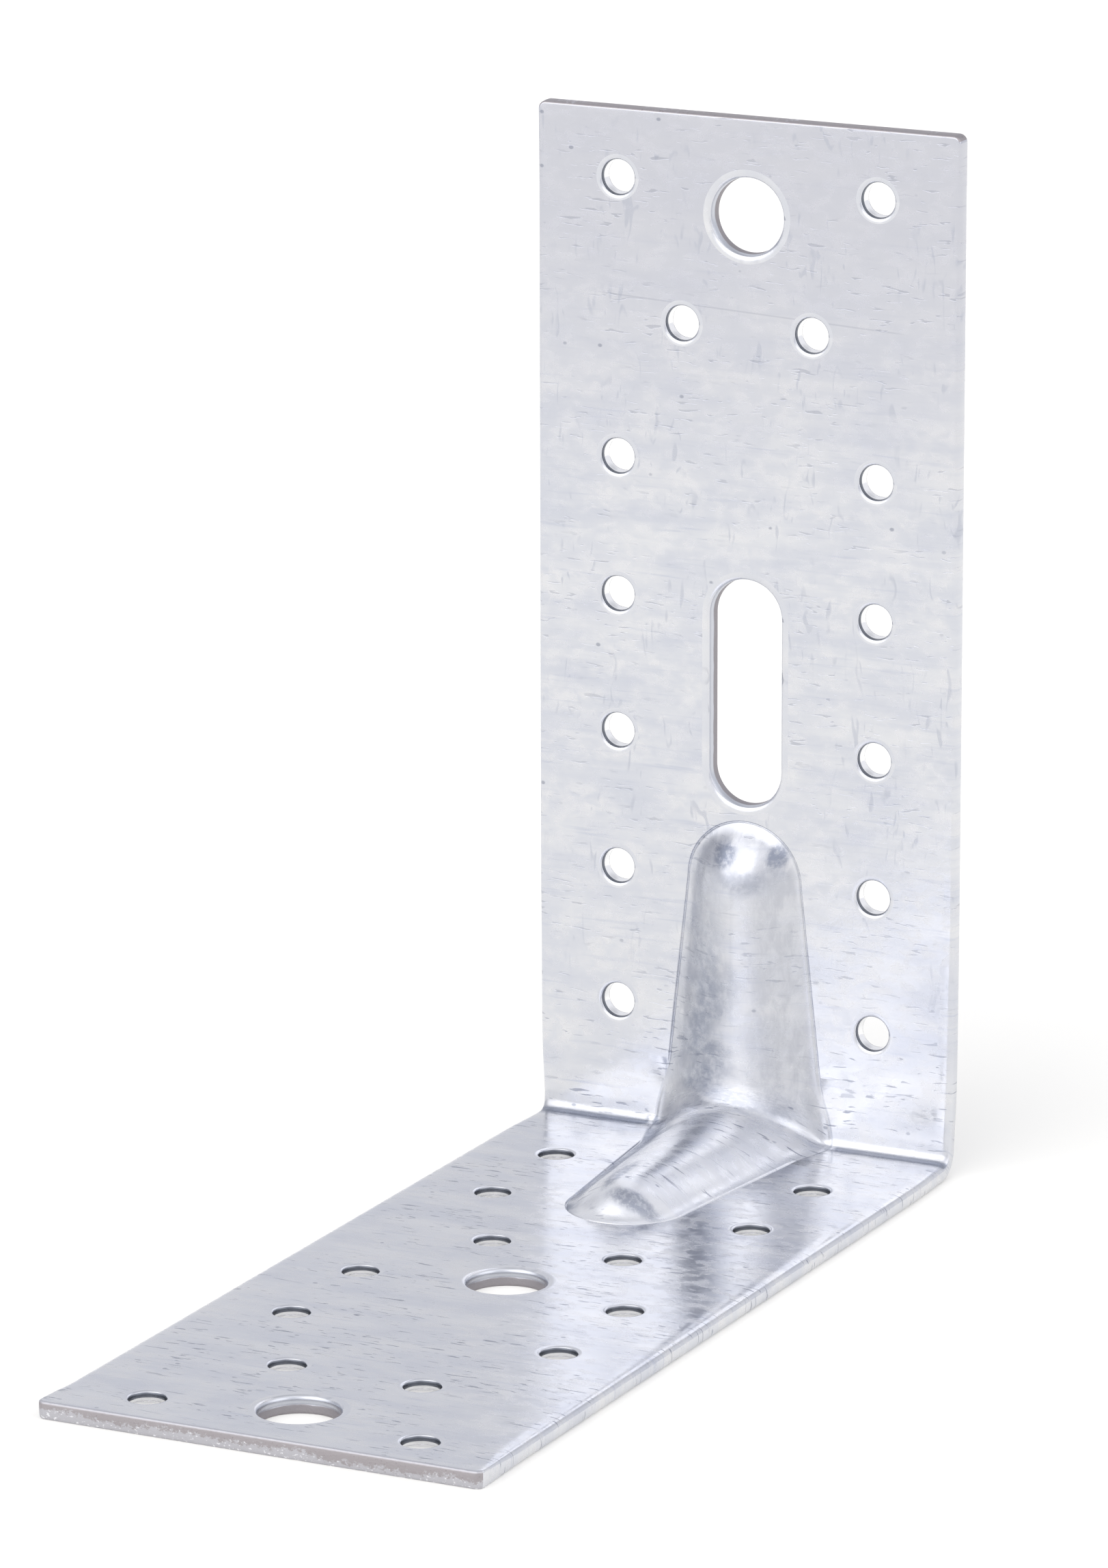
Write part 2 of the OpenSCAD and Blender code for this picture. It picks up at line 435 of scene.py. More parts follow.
def buildHole(leg, rim, outline):
    # rings from the front face over the rim, down the wall and out to the back face
    rings, wall = edgeSpec[rim], nailWall if rim == "nailRim" else boltWall
    count = len(outline)
    run = [0.0]
    for i in range(count):
        a, b = outline[i], outline[(i + 1) % count]
        run.append(run[-1] + math.hypot(b[0] - a[0], b[1] - a[1]))
    for (inA, deepA), (inB, deepB) in zip(rings, rings[1:]):
        look = galvanised if deepB <= edgeSpec["zincDepth"] or deepA >= sheetSpec["thickness"] else wall
        for i in range(count):
            j = (i + 1) % count
            corners, uvs = [], []
            for k, away, deep in ((i, inA, deepA), (j, inA, deepA), (j, inB, deepB), (i, inB, deepB)):
                x, s, nx, ns = outline[k]
                corners.append(wallPoint(leg, x + nx * away, s + ns * away, deep))
                uvs.append((run[i + (k == j)], deep))
            if leg == "foot":
                corners, uvs = corners[::-1], uvs[::-1]
            book.face(corners, look=look, uvs=uvs)


def holeRing(rim, outline, drop):
    away = edgeSpec[rim][0 if drop == 0 else -1][0]
    return [(x + nx * away, s + ns * away) for x, s, nx, ns in outline]


def legOutlines(leg):
    outlines = []
    for x, s, radius in legHoles(leg):
        kind = "bolt" if radius > edgeSpec["boltFrom"] else "nail"
        outlines.append((kind + "Rim", circleOutline(x, s, radius, edgeSpec[kind + "Steps"])))
    if leg == "upright":
        outlines.append(("boltRim", slotOutline()))
    return outlines


def legEnd(leg):
    size = sheetSpec["uprightHeight"] if leg == "upright" else sheetSpec["footLength"]
    return size - sheetSpec["thickness"]


def perimeter(leg):
    # the free edge of one leg from its turning line on the -x side, round the end and back on
    # the +x side, as (x, s, outward x, outward s, share of the sheared profile)
    half, end, radius = sheetSpec["width"] / 2, legEnd(leg), sheetSpec["cornerRadius"]
    spans, corner = edgeSpec["sideSpans"], end - radius
    points = []
    for i in range(spans):
        s = turnLine + (corner - turnLine) * i / spans
        t = max(0.0, 1 - (corner - s) / edgeSpec["runOut"])
        narrow = edgeSpec["narrow"][leg] * min(1.0, (s - turnLine) / edgeSpec["narrowFrom"])
        points.append((-half, s, -1.0, 0.0, narrow + (1 - narrow) * t * t * (3 - 2 * t)))
    for i in range(edgeSpec["cornerSteps"] + 1):
        t = math.pi - math.pi / 2 * i / edgeSpec["cornerSteps"]
        points.append((-half + radius + radius * math.cos(t), corner + radius * math.sin(t),
                       math.cos(t), math.sin(t), 1.0))
    for i in range(1, edgeSpec["endSpans"]):
        x = (half - radius) * (i / edgeSpec["endSpans"] - 1)
        points.append((x, end, 0.0, 1.0, 1.0))
    points.append((0.0, end, 0.0, 1.0, 1.0))
    return points + [(-x, s, -nx, ns, share) for x, s, nx, ns, share in reversed(points[:-1])]


def edgeProfile(leg, n, share):
    # (inset, depth) of one line along the edge, between the rolled and the sheared profile;
    # the shear came from the front on the foot and from the back on the upright
    a, b = edgeSpec["rolled"][n], edgeSpec["sheared"][n]
    if leg == "upright":
        inset, deep = edgeSpec["sheared"][len(edgeSpec["sheared"]) - 1 - n]
        b = (inset, sheetSpec["thickness"] - deep)
    return tuple(p + (q - p) * share for p, q in zip(a, b))


def buildBorder(leg):
    points, half = perimeter(leg), sheetSpec["width"] / 2
    tornFrom, tornScale = edgeSpec["tornBand"]
    bare = range(edgeSpec["rimSteps"], len(edgeSpec["rolled"]) - 1 - edgeSpec["rimSteps"])
    run = 0.0
    for p, q in zip(points, points[1:]):
        step = math.hypot(q[0] - p[0], q[1] - p[1])
        look = sheared if max(abs(p[3]), abs(q[3])) > edgeSpec["endFrom"] else galvanised
        for n in range(len(edgeSpec["rolled"]) - 1):
            corners, uvs = [], []
            for point, k, u in ((p, n, run), (q, n, run + step), (q, n + 1, run + step), (p, n + 1, run)):
                x, s, nx, ns, share = point
                inset, deep = edgeProfile(leg, k, share)
                corners.append(wallPoint(leg, x - nx * inset, s - ns * inset, deep))
                # the shear tore through the upright's end, and smeared the foot's
                uvs.append((u, deep if leg == "foot" else tornFrom + tornScale * deep))
            if look == galvanised or n not in bare:
                wrap = 1 if leg == "upright" else -1
                uvs = [(c[3] + c[3] / half * v, c[4] + (wrap * v if look == sheared else 0))
                       for c, (_, v) in zip(corners, uvs)]
                faceLook = galvanised
            else:
                faceLook = look
            if leg == "foot":
                corners, uvs = corners[::-1], uvs[::-1]
            book.face(corners, look=faceLook, uvs=uvs)
        run += step


def buildFoldBorder():
    half = sheetSpec["width"] / 2
    profile = edgeSpec["rolled"]
    for low, high in zip(turnRows, turnRows[1:]):
        for side in (-1, 1):
            for (inA, deepA), (inB, deepB) in zip(profile, profile[1:]):
                corners = []
                for row, inset, deep in ((low, inA, deepA), (high, inA, deepA),
                                         (high, inB, deepB), (low, inB, deepB)):
                    front, back = skinRadius(row, 0), skinRadius(row, sheetSpec["thickness"])
                    r = front + (back - front) * deep / sheetSpec["thickness"]
                    squeeze = foldShare(row) if deep < sheetSpec["squeezeDepth"] else 0.0
                    corners.append(place(row, side * (half - inset), r, squeeze))
                uvs = [(c[3] + side * d, c[4]) for c, d in zip(corners, (deepA, deepA, deepB, deepB))]
                if side == 1:
                    corners, uvs = corners[::-1], uvs[::-1]
                book.face(corners, uvs=uvs)


def insetPerimeter(leg, drop):
    points = []
    for x, s, nx, ns, share in perimeter(leg):
        inset, _ = edgeProfile(leg, 0 if drop == 0 else len(edgeSpec["rolled"]) - 1, share)
        points.append((x - nx * inset, s - ns * inset))
    return points


def ribNotch(leg, drop):
    # the rib's outline on one leg, from the turning line at +x round its end to -x, with the
    # points where the strips beside the rib end on both sides
    trim = 0.0 if drop == 0 else ribSpec["trim"]
    rows = uprightRows if leg == "upright" else footRows[::-1]
    edge = sheetSpec["width"] / 2 - borderInset(drop, "rolled")
    count = sheetSpec["sideColumns"]
    inner = ribHalf(("turn", 0)) - trim
    right = [(inner + (edge - inner) * k / count, turnLine) for k in range(count, 0, -1)]
    right += [(ribHalf(row) - trim, row[1]) for row in rows]
    radius = ribSpec["endRadius"] - trim
    steps = ribSpec["endSteps"]
    tip = [(radius * math.sin(a), endAt + radius * math.cos(a))
           for a in (math.pi / 2 - math.pi * i / steps for i in range(1, steps))]
    left = [(-x, s) for x, s in reversed(right)]
    return right + tip + left


def insideLoop(p, loop):
    inside = False
    for (ax, ay), (bx, by) in zip(loop, loop[1:] + loop[:1]):
        if (ay > p[1]) != (by > p[1]) and p[0] < (bx - ax) * (p[1] - ay) / (by - ay) + ax:
            inside = not inside
    return inside


def buildFlat(leg, drop, outlines):
    # the flat of one leg, filled round its holes and the rib
    border = insetPerimeter(leg, drop)
    notch = ribNotch(leg, drop)
    loops = [border[1:-1] + notch] + [holeRing(rim, outline, drop) for rim, outline in outlines]
    points, edges = [], []
    for loop in loops:
        first = len(points)
        points += [Vector(p) for p in loop]
        edges += [(first + i, first + (i + 1) % len(loop)) for i in range(len(loop))]
    verts, _, faces, _, _, _ = delaunay_2d_cdt(points, edges, [], 1, 1e-5)
    for face in faces:
        centre = sum((verts[i] for i in face), Vector((0.0, 0.0))) / len(face)
        if not insideLoop(centre, loops[0]) or any(insideLoop(centre, loop) for loop in loops[1:]):
            continue
        corners = [wallPoint(leg, verts[i][0], verts[i][1], drop) for i in face]
        upright = leg == "upright"
        if upright == (drop == 0):
            book.face(corners, flat=True)
        else:
            book.face(corners[::-1], flat=True)


def buildBracketMesh():
    thickness = sheetSpec["thickness"]
    for drop in (0, thickness):
        buildRib(drop)
        buildFoldSides(drop)
    for leg in ("upright", "foot"):
        outlines = legOutlines(leg)
        for rim, outline in outlines:
            buildHole(leg, rim, outline)
        for drop in (0, thickness):
            buildFlat(leg, drop, outlines)
        buildBorder(leg)
    buildFoldBorder()
    origin = (0.0, highCorner[1] / mm - thickness, thickness)
    mesh = bpy.data.meshes.new("foldedBracket")
    mesh.from_pydata([tuple((c + o) * mm for c, o in zip(p, origin)) for p in book.points], [], book.faces)
    mesh.polygons.foreach_set("use_smooth", [not flat for flat in book.flats])
    mesh.polygons.foreach_set("material_index", book.looks)
    layer = mesh.uv_layers.new(name="millimetres")
    layer.data.foreach_set("uv", [c for uvs in book.uvs for uv in uvs for c in uv])
    drawn = mesh.attributes.new("drawn", "FLOAT", "POINT")
    drawn.data.foreach_set("value", book.drawn)
    mesh.validate()
    mesh.update()
    piece = bpy.data.objects.new("foldedBracket", mesh)
    bpy.context.scene.collection.objects.link(piece)
    return piece


bracket = buildBracketMesh()
print("bracket mesh:", len(bracket.data.vertices), "points,", len(bracket.data.polygons), "faces")


# What every finish below is made of. The mesh's UV map holds millimetres: across and along the
# strip on the sheet's skin, run of the edge and depth below the front on the walls.
def mapAxes(tree):
    where = addNode(tree, "ShaderNodeUVMap", {"uv_map": "millimetres"}).outputs[0]
    axes = addNode(tree, "ShaderNodeSeparateXYZ", links={0: where})
    return where, axes.outputs[0], axes.outputs[1]


def within(tree, *limits):
    # how far several things hold at once; each is a share, or (value, begins, full) with the
    # share's least and most where they aren't 0 and 1
    share = None
    for limit in limits:
        if isinstance(limit, tuple):
            value, begins, full, *ends = limit
            least, most = ends or (0.0, 1.0)
            limit = addNode(tree, "ShaderNodeMapRange",
                            {"interpolation_type": "SMOOTHSTEP", "From Min": begins, "From Max": full,
                             "To Min": least, "To Max": most}, {"Value": value}).outputs[0]
        if share is not None:
            both = addNode(tree, "ShaderNodeMath", {"operation": "MULTIPLY"}, {0: share, 1: limit})
            limit = both.outputs[0]
        share = limit
    return share


def pattern(tree, sheet, spec):
    # noise whose blotches measure size (across, along) in millimetres; cut holds the noise
    # levels where the pattern begins and is full, then its least and its most
    shift = spec["shift"]
    spot = addNode(tree, "ShaderNodeVectorMath",
                   {"operation": "MULTIPLY_ADD", 1: tuple(1 / size for size in spec["size"]) + (1.0,),
                    2: (shift, -shift, shift)}, {0: sheet})
    noise = addNode(tree, "ShaderNodeTexNoise",
                    {"Scale": 1.0, "Detail": spec["detail"], "Roughness": spec.get("rough", 0.5),
                     "Distortion": spec.get("distort", 0.0)}, {"Vector": spot.outputs[0]})
    level = noise.outputs["Fac"]
    return within(tree, (level, *spec["cut"])) if "cut" in spec else level


def layOver(tree, below, colour, *limits):
    # a colour laid over the one below where all its limits hold
    settings, links = {"data_type": "RGBA", 7: linearColour(colour)}, {0: within(tree, *limits)}
    if isinstance(below, str):
        settings[6] = linearColour(below)
    else:
        links[6] = below
    return addNode(tree, "ShaderNodeMix", settings, links).outputs[2]


def relief(tree, *heights):
    # fine heights on top of each other, each a pattern and the millimetres that it rises
    normal = None
    for height, rise in heights:
        links = {"Height": height} if normal is None else {"Height": height, "Normal": normal}
        step = addNode(tree, "ShaderNodeBump", {"Strength": 1.0, "Distance": rise * mm}, links)
        normal = step.outputs["Normal"]
    return normal


# Hot-dip galvanised steel, temper rolled. The zinc skin is pale and faintly blue, cloudy
# where it froze unevenly, with short rolled-in dashes and streaks across the strip.
zincSpec = {
    "pale": "#DEDFE2",
    "cloud": "#D2D4DB",
    "streakColour": "#C3C7D3",
    "dashColour": "#858A99",
    "warm": "#DFDFE1",
    "upperTone": "#C6C7CF",
    "scuffColour": "#B3B7C3",
    # drawn zinc, darker: partly its own tone, partly painted shade on the rib and in the fold
    "drawnZincAndShade": "#BFC1C8",
    "paintedLightRibFoot": "#EEEFF2",        # painted light: a paler colour laid on the rib's foot
    # painted shade: the colour of the rib's dark flank and its dark spots
    "paintedShadeColour": "#7F8698",
    # painted shade: the colour of the crease below the fold and of the groove round the rib
    "paintedCreaseShade": "#868C9B",
    "clouds": {"size": (13.0, 7.0), "shift": 0.0, "detail": 4.0, "rough": 0.6, "cut": (0.3, 0.72)},
    "mottle": {"size": (2.6, 1.7), "shift": 5.3, "detail": 3.0, "rough": 0.55, "distort": 0.4,
               "cut": (0.35, 0.68)},
    # rolled in across the strip: bands, finer lines on the upright, streaks and short dashes,
    # which come in loose groups
    "bands": {"size": (60.0, 4.5), "shift": 3.9, "detail": 2.0, "cut": (0.4, 0.62, 0.0, 0.3)},
    "lines": {"size": (34.0, 1.5), "shift": 7.2, "detail": 4.0, "rough": 0.6, "cut": (0.42, 0.66, 0.0, 0.3)},
    "linesFrom": (10.0, 50.0),  # mm up the upright
    "streaks": {"size": (13.0, 0.7), "shift": 2.2, "detail": 3.0, "rough": 0.6, "distort": 0.3,
                "cut": (0.56, 0.76)},
    "dashes": {"size": (2.9, 0.5), "shift": 3.7, "detail": 2.0, "rough": 0.4, "distort": 0.6,
               "cut": (0.625, 0.7)},
    "dashGroups": {"size": (16.0, 10.0), "shift": 8.1, "detail": 2.0, "cut": (0.36, 0.58)},
    "dashShare": (8.0, 20.0, 0.75, 0.33),       # stronger on the foot than up the upright
    "upperToneFrom": (80.0, 142.0, 0.0, 0.8),        # darker and greyer towards the upright's end
    # soft vertical strokes that the straightening rollers leave on the upright
    "scuffs": {"size": (1.5, 5.5), "shift": 6.4, "detail": 1.0, "distort": 1.5, "cut": (0.58, 0.76)},
    "scuffGroups": {"size": (12.0, 9.0), "shift": 1.9, "detail": 1.0, "cut": (0.4, 0.6)},
    "scuffsFrom": (0.0, 40.0),
    "scuffShare": 0.5,
    "pitCell": 3.4,             # mm from one pit to the next
    "pitReach": (0.045, 0.11),  # of a cell, to the pit's rim and beyond it
    "pitChosen": (0.5, 0.9),    # only a few cells hold one
    "pitShare": 0.6,
    "scratch": ((-25.5, 121.0), (26.5, 118.9)),     # from, to: mm across and up the upright
    "scratchWidth": (0.05, 0.17),
    "scratchEnds": 6.0,         # mm over which it fades
    "scratchShare": 0.22,
    # how far the press drew the zinc: from 0 at the rib's outline to 1 where its foot begins
    "pressedAt": (0.05, 0.3),
    # the darker drawn zinc: partly its own tone, partly painted shade
    "drawnShare": (0.3, 0.9, 0.25, 1.0),
    "drawnFrom": (-5.0, 6.0, 0.1, 0.85),        # mm along the strip, weak on the foot
    "drawnPatches": {"size": (1.7, 4.5), "shift": 2.9, "detail": 5.0, "rough": 0.72, "distort": 0.4,
                     "cut": (0.36, 0.62, 0.32, 1.0)},
    # painted light: where the rib's foot is made paler, mm along the strip
    "paintedLightFrom": (-9.0, -3.0, 0.5, 0.0),
    # painted shade on the rib's left flank: mm across from its middle, and along the strip
    "flankSway": {"size": (9.0, 7.0), "shift": 3.3, "detail": 3.0, "cut": (0.3, 0.7, -1.8, 1.8)},
    "flankAcross": ((-9.5, -5.0, 0.25, 1.0), (-4.0, 2.6, 1.0, 0.0)),
    "flankAlong": ((18.0, 42.0, 0.9, 0.1), (-5.0, 6.0)),
    "flankPatches": {"size": (1.8, 2.2), "shift": 3.1, "detail": 4.0, "rough": 0.7,
                     "cut": (0.32, 0.62, 0.42, 0.82)},
    # and painted shade on its left flank on the foot
    "lowFlankAcross": (-8.5, -5.0, 1.0, 0.0),
    "lowFlankAlong": (-6.0, 2.0, 1.0, 0.0),
    "lowFlankPatches": {"size": (1.8, 2.6), "shift": 9.6, "detail": 4.0, "rough": 0.7,
                        "cut": (0.32, 0.62, 0.55, 0.95)},
    # spots on the rib, partly galled zinc and mostly painted shade that dims its highlights and darkens the
    # crease at the fold: centre and reach in mm, and how dark
    "paintedShadeSpots": [
        ((-1.9, 42.0), (2.3, 2.2), 0.85),
        ((5.6, 42.1), (1.7, 2.0), 0.8),
        ((1.4, 38.4), (4.2, 1.9), 0.34),
        ((3.0, 2.0), (8.5, 3.8), 0.34),
        ((-14.4, -0.2), (1.5, 1.6), 0.85),
        ((-2.0, -36.0), (1.5, 6.0), 0.75),
        ((2.8, -42.0), (4.6, 1.6), 0.7),
    ],
    "shadeSpotEdge": (0.35, 1.3),    # of its reach, where a spot begins to fade and has gone
    "shadeSpotFlecks": {"size": (0.9, 0.9), "shift": 4.9, "detail": 3.0, "rough": 0.7,
                   "cut": (0.36, 0.6, 0.55, 1.0)},
    # painted shade in the crease just below the fold, beside the rib: mm along the strip and from its middle
    "foldLine": ((-2.3, -1.5), (-0.6, 0.1, 0.75, 0.0)),
    "foldLineFrom": (14.0, 15.2),
    # painted shade in the groove round the rib, by how far the zinc is drawn, and where the fold ends it
    "ribLine": ((0.02, 0.12), (0.17, 0.36, 0.45, 0.0)),
    "ribLineTo": (14.2, 15.0, 1.0, 0.0),
    "ribLinePatches": {"size": (5.0, 5.0), "shift": 5.7, "detail": 3.0, "cut": (0.35, 0.65, 0.25, 1.0)},
    "roughness": (0.16, 0.29),  # of the bright and the mottled zinc
    "pressedDull": 0.09,        # added where the press scuffed the rib
    "ripple": {"size": (14.0, 5.0), "shift": 7.9, "detail": 1.0, "rough": 0.4},
    "grain": {"size": (0.55, 0.55), "shift": 1.1, "detail": 2.0},
    "rise": {"ripple": 0.05, "mottle": 0.008, "scuffs": 0.006, "grain": 0.004, "dashes": 0.014},    # mm
}


def rolledZinc(tree, sheet, along, clouds, mottle, scuffs):
    # the strip as it left the rolls, made darker towards the upright's end
    spec = zincSpec
    colour = layOver(tree, spec["cloud"], spec["pale"], clouds)
    colour = layOver(tree, colour, spec["streakColour"], pattern(tree, sheet, spec["bands"]))
    colour = layOver(tree, colour, spec["streakColour"], pattern(tree, sheet, spec["lines"]),
                     (along, *spec["linesFrom"]))
    colour = layOver(tree, colour, spec["warm"], mottle, clouds)
    colour = layOver(tree, colour, spec["streakColour"], pattern(tree, sheet, spec["streaks"]),
                     (clouds, 0.0, 1.0, 0.8, 0.4))
    # darker and greyer towards the upright's end
    colour = layOver(tree, colour, spec["upperTone"], (along, *spec["upperToneFrom"]))
    return layOver(tree, colour, spec["scuffColour"], (scuffs, 0.0, 1.0, 0.0, spec["scuffShare"]))


def softSpot(tree, sheet, centre, reach):
    scale = (1 / reach[0], 1 / reach[1], 0.0)
    start = (-centre[0] * scale[0], -centre[1] * scale[1], 0.0)
    spot = addNode(tree, "ShaderNodeVectorMath", {"operation": "MULTIPLY_ADD", 1: scale, 2: start},
                   {0: sheet})
    away = addNode(tree, "ShaderNodeVectorMath", {"operation": "LENGTH"}, {0: spot.outputs[0]})
    return within(tree, (away.outputs["Value"], *zincSpec["shadeSpotEdge"], 1.0, 0.0))


def paintedShadeFlank(tree, sheet, across, along):
    # painted shade on the rib's left flank, on the foot too, and in spots flecked like galled zinc that dim
    # its highlights and darken its creases
    spec = zincSpec
    sway = pattern(tree, sheet, spec["flankSway"])
    swayed = addNode(tree, "ShaderNodeMath", {"operation": "ADD"}, {0: across, 1: sway}).outputs[0]
    limits = [(swayed, *limit) for limit in spec["flankAcross"]]
    limits += [(along, *limit) for limit in spec["flankAlong"]]
    dark = within(tree, *limits, pattern(tree, sheet, spec["flankPatches"]))
    low = within(tree, (swayed, *spec["lowFlankAcross"]), (along, *spec["lowFlankAlong"]),
                 pattern(tree, sheet, spec["lowFlankPatches"]))
    dark = addNode(tree, "ShaderNodeMath", {"operation": "MAXIMUM"}, {0: dark, 1: low}).outputs[0]
    flecks = pattern(tree, sheet, spec["shadeSpotFlecks"])
    for centre, reach, share in spec["paintedShadeSpots"]:
        shadeSpot = within(tree, flecks, softSpot(tree, sheet, centre, reach))
        shadeSpot = within(tree, (shadeSpot, 0.0, 1.0, 0.0, share))
        dark = addNode(tree, "ShaderNodeMath", {"operation": "MAXIMUM"}, {0: dark, 1: shadeSpot}).outputs[0]
    return dark


def longScratch(tree, across, along):
    # one long fine scratch over the upright
    spec = zincSpec
    (x0, y0), (x1, y1) = spec["scratch"]
    slope, ends = (y1 - y0) / (x1 - x0), spec["scratchEnds"]
    line = addNode(tree, "ShaderNodeMath", {"operation": "MULTIPLY_ADD", 1: -slope, 2: slope * x0 - y0},
                   {0: across})
    gap = addNode(tree, "ShaderNodeMath", {"operation": "ADD"}, {0: line.outputs[0], 1: along})
    gap = addNode(tree, "ShaderNodeMath", {"operation": "ABSOLUTE"}, {0: gap.outputs[0]}).outputs[0]
    return within(tree, (gap, *spec["scratchWidth"], 1.0, 0.0), (across, x0, x0 + ends),
                  (across, x1 - ends, x1, 1.0, 0.0))


def pits(tree, sheet):
    # small pits with a soft rim
    spec = zincSpec
    cell = spec["pitCell"]
    spot = addNode(tree, "ShaderNodeVectorMath",
                   {"operation": "MULTIPLY", 1: (0.75 / cell, 1 / cell, 1.0)}, {0: sheet})
    cells = addNode(tree, "ShaderNodeTexVoronoi", {"feature": "F1", "Scale": 1.0},
                    {"Vector": spot.outputs[0]})
    chance = addNode(tree, "ShaderNodeSeparateColor", links={0: cells.outputs["Color"]}).outputs[0]
    return within(tree, (cells.outputs["Distance"], *spec["pitReach"], 1.0, 0.0),
                  (chance, *spec["pitChosen"]))


def galvanisedSteel():
    material, tree = newMaterial("galvanisedSteelTemperRolled")
    spec, rise = zincSpec, zincSpec["rise"]
    sheet, across, along = mapAxes(tree)
    beside = addNode(tree, "ShaderNodeMath", {"operation": "ABSOLUTE"}, {0: across}).outputs[0]
    clouds = pattern(tree, sheet, spec["clouds"])
    mottle = pattern(tree, sheet, spec["mottle"])
    scuffs = within(tree, pattern(tree, sheet, spec["scuffs"]), pattern(tree, sheet, spec["scuffGroups"]),
                    (along, *spec["scuffsFrom"]))
    dashes = within(tree, pattern(tree, sheet, spec["dashes"]), pattern(tree, sheet, spec["dashGroups"]))
    colour = rolledZinc(tree, sheet, along, clouds, mottle, scuffs)

    # what the press did to the rib and the fold: darker drawn zinc that is partly painted shade, painted
    # light on the rib's foot, and painted shade on its flank, in spots and in its creases
    drawn = addNode(tree, "ShaderNodeAttribute", {"attribute_name": "drawn"}).outputs["Fac"]
    pressed = within(tree, (drawn, *spec["pressedAt"]))
    # darker drawn zinc, partly painted shade
    colour = layOver(tree, colour, spec["drawnZincAndShade"], (drawn, *spec["drawnShare"]), pressed,
                     (along, *spec["drawnFrom"]), pattern(tree, sheet, spec["drawnPatches"]))
    # painted light on the rib's foot
    colour = layOver(tree, colour, spec["paintedLightRibFoot"], pressed, (along, *spec["paintedLightFrom"]))
    # painted shade on the rib's flank and in its dark spots
    colour = layOver(tree, colour, spec["paintedShadeColour"], pressed, paintedShadeFlank(tree, sheet, across, along))
    # painted shade in the crease below the fold and in the groove round the rib
    colour = layOver(tree, colour, spec["paintedCreaseShade"], *[(along, *limit) for limit in spec["foldLine"]],
                     pressed, (beside, *spec["foldLineFrom"]))
    colour = layOver(tree, colour, spec["paintedCreaseShade"], *[(drawn, *limit) for limit in spec["ribLine"]],
                     pattern(tree, sheet, spec["ribLinePatches"]), (beside, *spec["ribLineTo"]))

    # wear on top of it all
    colour = layOver(tree, colour, spec["dashColour"],
                     (longScratch(tree, across, along), 0.0, 1.0, 0.0, spec["scratchShare"]))
    colour = layOver(tree, colour, spec["dashColour"], dashes, (along, *spec["dashShare"]))
    colour = layOver(tree, colour, spec["dashColour"], (pits(tree, sheet), 0.0, 1.0, 0.0, spec["pitShare"]))
    dull = addNode(tree, "ShaderNodeMath", {"operation": "MULTIPLY_ADD", 1: spec["pressedDull"]},
                   {0: pressed, 2: within(tree, (mottle, 0.0, 1.0, *spec["roughness"]))})
    normal = relief(tree, (pattern(tree, sheet, spec["ripple"]), rise["ripple"]), (mottle, rise["mottle"]),
                    (scuffs, rise["scuffs"]), (pattern(tree, sheet, spec["grain"]), rise["grain"]),
                    (within(tree, (dashes, 0.0, 1.0, 1.0, 0.0)), rise["dashes"]))
    shader = addNode(tree, "ShaderNodeBsdfPrincipled", {"Metallic": 1.0},
                     {"Base Color": colour, "Roughness": dull.outputs[0], "Normal": normal})
    addNode(tree, "ShaderNodeOutputMaterial", links={"Surface": shader.outputs["BSDF"]})
    return material


# Bare steel where a punch went through: a burnished band that the punch made smooth, then a torn one.
# In the nail holes the upper band is painted shade and the lower band near-white painted light for the floor
# under the hole; the large punch leaves a bright band.
nailSpec = {
    "name": "nailWallPaintedShadeAndLight",
    # painted shade: the dark upper band of the nail walls
    "upper": "#777B84",
    # painted light: a near-white lower band that stands in for the white floor under the hole
    "lower": "#FAFAFB",
    "bandAt": (0.8, 0.92),      # mm below the front face
    "wander": {"size": (2.2, 8.0), "shift": 4.4, "detail": 2.0, "cut": (0.3, 0.7, -0.02, 0.02)},
    "roughness": (0.35, 0.12),  # of the upper and the lower band
    "grain": {"size": (0.35, 0.35), "shift": 9.2, "detail": 3.0, "rough": 0.7},
    "tear": 0.004,              # mm, roughness of the torn band
    "drawLines": {"size": (0.12, 4.0), "shift": 6.1, "detail": 3.0},
    "drawRise": 0.006,
}

boltSpec = {
    "name": "punchedSteelBoltWall",
    "upper": "#C9CCD4",
    "lower": "#A39FA3",
    "bandAt": (1.15, 1.4),
    "wander": {"size": (2.2, 8.0), "shift": 4.4, "detail": 2.0, "cut": (0.3, 0.7, -0.06, 0.06)},
    "roughness": (0.3, 0.55),
    "grain": {"size": (0.35, 0.35), "shift": 9.2, "detail": 3.0, "rough": 0.7},
    "tear": 0.05,
    "drawLines": {"size": (0.12, 4.0), "shift": 6.1, "detail": 3.0},
    "drawRise": 0.006,
}


def punchedSteel(spec):
    material, tree = newMaterial(spec["name"])
    wall, _, depth = mapAxes(tree)
    moved = addNode(tree, "ShaderNodeMath", {"operation": "ADD"},
                    {0: depth, 1: pattern(tree, wall, spec["wander"])})
    lower = within(tree, (moved.outputs[0], *spec["bandAt"]))
    torn = within(tree, pattern(tree, wall, spec["grain"]), lower)
    normal = relief(tree, (torn, spec["tear"]), (pattern(tree, wall, spec["drawLines"]), spec["drawRise"]))
    shader = addNode(tree, "ShaderNodeBsdfPrincipled", {"Metallic": 1.0},
                     {"Base Color": layOver(tree, spec["upper"], spec["lower"], lower),
                      "Roughness": within(tree, (lower, 0.0, 1.0, *spec["roughness"])), "Normal": normal})
    addNode(tree, "ShaderNodeOutputMaterial", links={"Surface": shader.outputs["BSDF"]})
    return material


